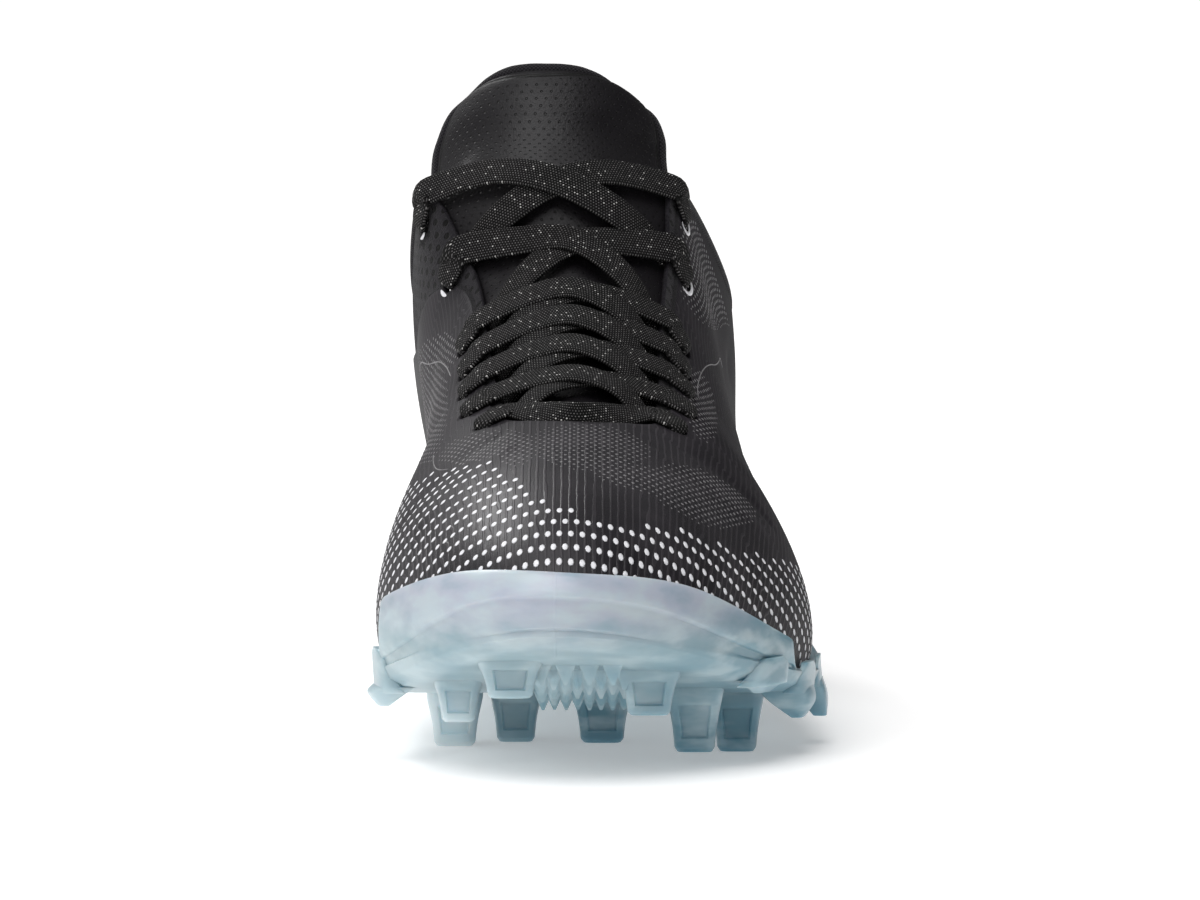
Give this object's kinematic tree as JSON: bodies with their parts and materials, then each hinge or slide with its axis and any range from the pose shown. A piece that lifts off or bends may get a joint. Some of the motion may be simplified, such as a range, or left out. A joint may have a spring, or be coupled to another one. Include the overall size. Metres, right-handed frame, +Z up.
{
  "type": "lacrosse shoe",
  "caption": "Left field cleat with a moulded translucent stud plate, a hollow synthetic upper, padded tongue, footbed and flat crossed lace.",
  "frame": {"origin": "on the floor under the middle of the shoe's box", "axes": "+Y from toe to heel, +X to the lateral side, +Z up from the floor that the studs stand on"},
  "size_m": [0.1052, 0.2871, 0.1525],
  "materials": {
    "plate": "frosted translucent",
    "skin": "satin synthetic with printed dots",
    "tongue": "perforated synthetic",
    "footbed": "matte",
    "lace": "flat weave with pale flecks"
  },
  "bodies": {
    "root": {"outsole": "plate", "upper": "skin", "tongue": "tongue", "insole": "footbed", "lace": "lace"}
  },
  "joints": []
}
